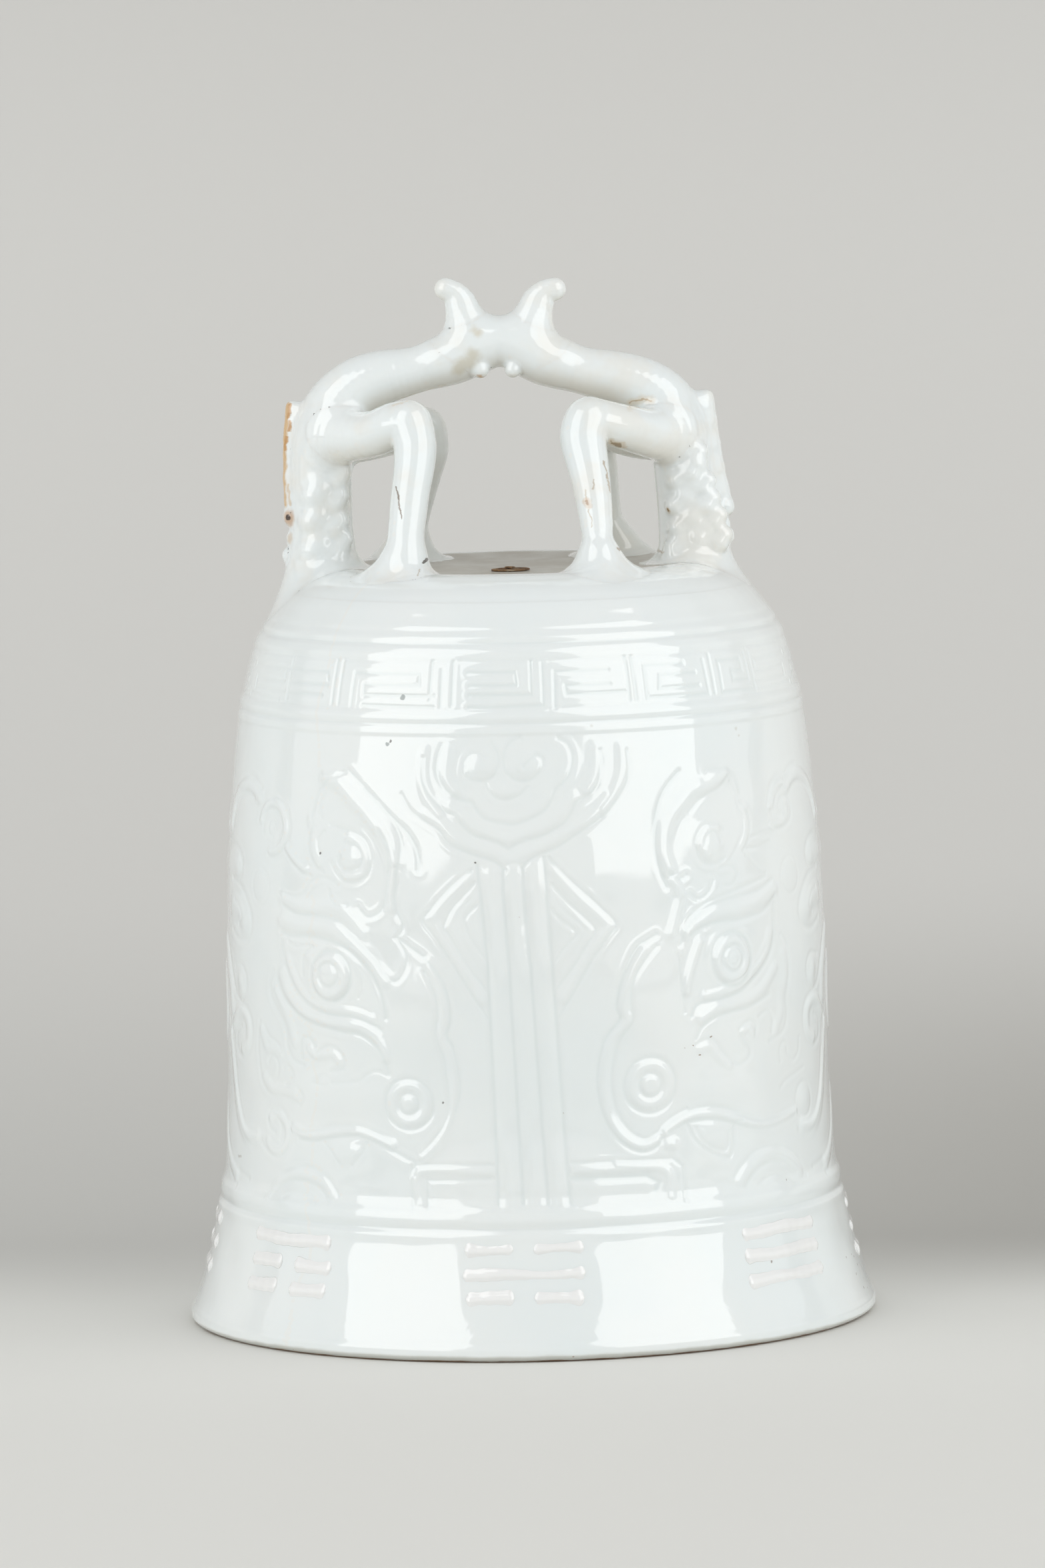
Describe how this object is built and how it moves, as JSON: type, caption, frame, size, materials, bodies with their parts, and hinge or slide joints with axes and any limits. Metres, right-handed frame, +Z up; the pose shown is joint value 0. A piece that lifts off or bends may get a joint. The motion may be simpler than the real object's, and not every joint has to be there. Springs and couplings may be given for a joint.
{
  "type": "porcelain bell",
  "caption": "White glazed porcelain bell with a double-beast arched handle, relief bands, raised trigram bars on a flared skirt and a hanging clapper.",
  "frame": {"origin": "centre of the foot rim, on the plane the bell stands on", "axes": "+Z up along the bell's axis, +X along the handle from the left beast to the right beast, -Y the front"},
  "size_m": [0.1736, 0.1736, 0.2614],
  "materials": {
    "glazed_porcelain": "clear gloss glaze over white porcelain, foot rim bare and buff",
    "glazed_slip": "trailed white slip under the same gloss glaze",
    "rusty_iron_wire": "rusted, matt",
    "dark_iron": "dark, worn",
    "turned_wood": "turned hardwood, oiled"
  },
  "bodies": {
    "bell": {"bell_wall": "glazed_porcelain", "crown_disc": "glazed_porcelain", "left_beast_body": "glazed_porcelain", "right_beast_body": "glazed_porcelain", "left_beast_front_leg": "glazed_porcelain", "left_beast_rear_leg": "glazed_porcelain", "right_beast_front_leg": "glazed_porcelain", "right_beast_rear_leg": "glazed_porcelain", "joined_heads": "glazed_porcelain", "left_horn": "glazed_porcelain", "right_horn": "glazed_porcelain", "chin_beads": "glazed_porcelain", "left_dorsal_fin": "glazed_porcelain", "right_dorsal_fin": "glazed_porcelain", "left_spine_beads": "glazed_porcelain", "right_spine_beads": "glazed_porcelain", "trigram_kan": "glazed_slip", "trigram_qian": "glazed_slip", "trigram_dui": "glazed_slip", "trigram_kun": "glazed_slip", "trigram_li": "glazed_slip", "trigram_xun": "glazed_slip", "trigram_zhen": "glazed_slip", "trigram_gen": "glazed_slip"},
    "hanger": {"hanger_coil": "rusty_iron_wire", "suspension_wire": "rusty_iron_wire"},
    "clapper": {"clapper_stem": "dark_iron", "clapper_bob": "turned_wood"}
  },
  "joints": [
    {"name": "hanger_swivel", "type": "hinge", "parent": "bell", "child": "hanger", "pos_m": [-0.002, 0, 0.1882], "axis": [0, 0, 1], "continuous": true},
    {"name": "clapper_swing", "type": "hinge", "parent": "hanger", "child": "clapper", "pos_m": [-0.002, 0, 0.171], "axis": [0, 1, 0], "range_deg": [-25, 25]}
  ]
}
